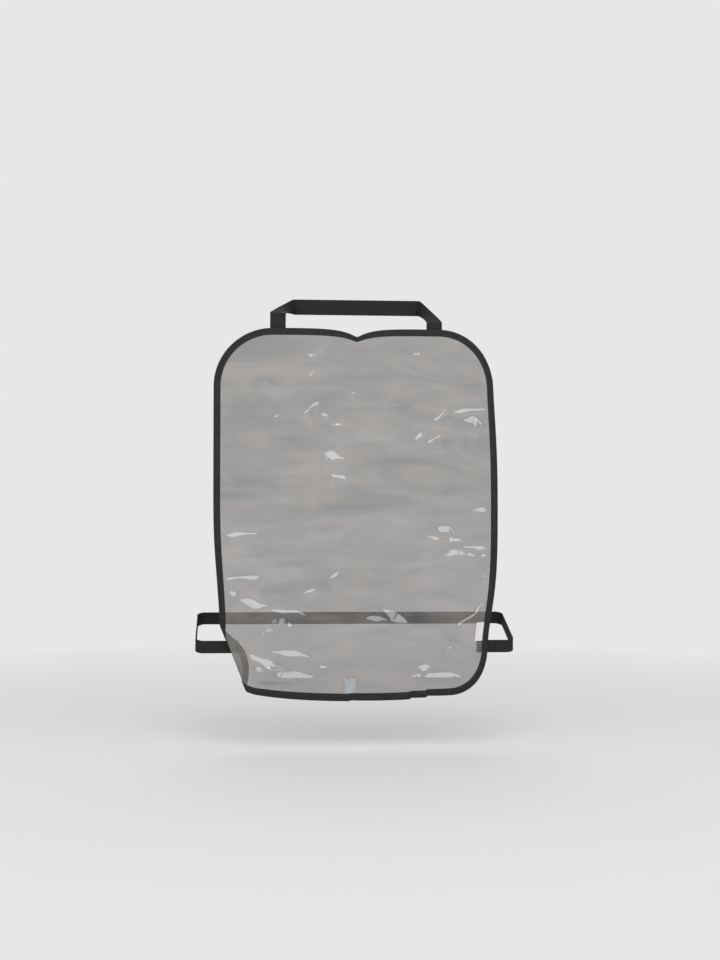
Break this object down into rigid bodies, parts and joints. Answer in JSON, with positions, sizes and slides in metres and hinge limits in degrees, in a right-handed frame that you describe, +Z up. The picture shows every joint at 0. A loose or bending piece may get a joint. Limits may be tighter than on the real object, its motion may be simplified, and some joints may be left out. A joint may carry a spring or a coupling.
{
  "type": "car seat protector",
  "caption": "Clear soft-film kick mat with a bound edge, an upper elastic that loops back for hanging and a lower elastic loop that holds it down.",
  "frame": {"origin": "the middle of the flat face of the upper strap's span, the face that the mat hangs by", "axes": "+X to the right as seen from the front, +Z up, the film faces -Y and the straps run back along +Y"},
  "size_m": [0.5136, 0.1371, 0.6489],
  "materials": {
    "clear_film": "clear, glossy, wrinkled",
    "binding_tape": "woven, matte",
    "elastic": "ribbed weave, matte",
    "white_label": "smooth satin weave",
    "pale_label": "thin, half clear",
    "thread": "spun thread"
  },
  "bodies": {
    "root": {"film_panel": "clear_film", "edge_binding": "binding_tape", "upper_strap": "elastic", "lower_strap": "elastic", "side_label": "white_label", "care_label": "pale_label", "upper_left_stitching": "thread", "upper_right_stitching": "thread", "lower_right_stitching": "thread", "lower_left_stitching": "thread"}
  },
  "joints": []
}
